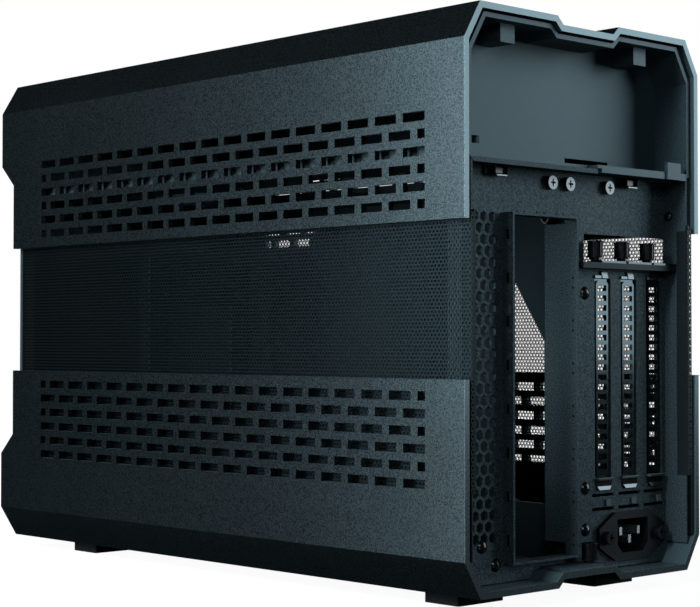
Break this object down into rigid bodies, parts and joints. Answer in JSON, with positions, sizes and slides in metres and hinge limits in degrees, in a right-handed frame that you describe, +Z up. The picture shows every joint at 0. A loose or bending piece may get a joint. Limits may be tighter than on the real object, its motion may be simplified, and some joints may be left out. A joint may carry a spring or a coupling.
{
  "type": "mini-itx computer case",
  "caption": "Small sandwich-layout computer case: two slotted metal shells around a mesh band, a rear plate with board opening, card slots and power inlet, and a lift-off top cover.",
  "frame": {"origin": "on the floor, under the middle of the case's bounding box", "axes": "+Z up, +Y to the rear of the case, +X to the board side (the left of the case seen from its rear)"},
  "size_m": [0.172, 0.371, 0.271],
  "materials": {
    "shell": "satin, fine sand texture",
    "front_face": "satin",
    "mesh": "satin",
    "bay_plastic": "matte",
    "steel": "sand texture",
    "cover_steel": "satin",
    "black_screws": "satin",
    "bright_screws": "satin",
    "inlet_plastic": "semi gloss",
    "contact": "satin",
    "rubber": "matte",
    "brass": "satin",
    "board": "satin",
    "socket_plastic": "matte",
    "port_metal": "satin",
    "button": "satin"
  },
  "bodies": {
    "chassis": {"bottom_shell": "shell", "front_panel": "front_face", "mesh_panel_left": "mesh", "mesh_panel_right": "mesh", "rear_plate": "steel", "front_plate": "steel", "base_pan": "steel", "spine_plate": "steel", "radiator_bracket": "steel", "slot_shelf": "steel", "psu_bracket": "steel", "riser_stand": "steel", "slot_cover_1": "cover_steel", "slot_cover_2": "cover_steel", "slot_cover_3": "cover_steel", "slot_thumbscrews": "black_screws", "base_thumbscrew": "black_screws", "inlet_screws": "black_screws", "chassis_rivets": "black_screws", "board_standoffs": "black_screws", "rear_screws": "bright_screws", "power_inlet": "inlet_plastic", "inlet_blades": "contact", "foot_front_left": "rubber", "foot_front_right": "rubber", "foot_rear_left": "rubber", "foot_rear_right": "rubber", "port_board_spacers": "brass", "riser_board": "board", "port_board": "board", "riser_socket": "socket_plastic", "power_switch": "socket_plastic", "usb_port": "port_metal", "usb_small_port": "port_metal"},
    "top_cover": {"top_shell": "shell", "top_front_panel": "front_face", "rear_bay_insert": "bay_plastic"},
    "power_button": {"power_button": "button"}
  },
  "joints": [
    {"name": "top_cover_lift", "type": "slide", "parent": "chassis", "child": "top_cover", "axis": [0, 0, 1], "range_m": [0, 0.04]},
    {"name": "power_button_press", "type": "slide", "parent": "chassis", "child": "power_button", "axis": [0, 1, 0], "range_m": [0, 0.001], "stiffness_N_per_m": 600}
  ]
}
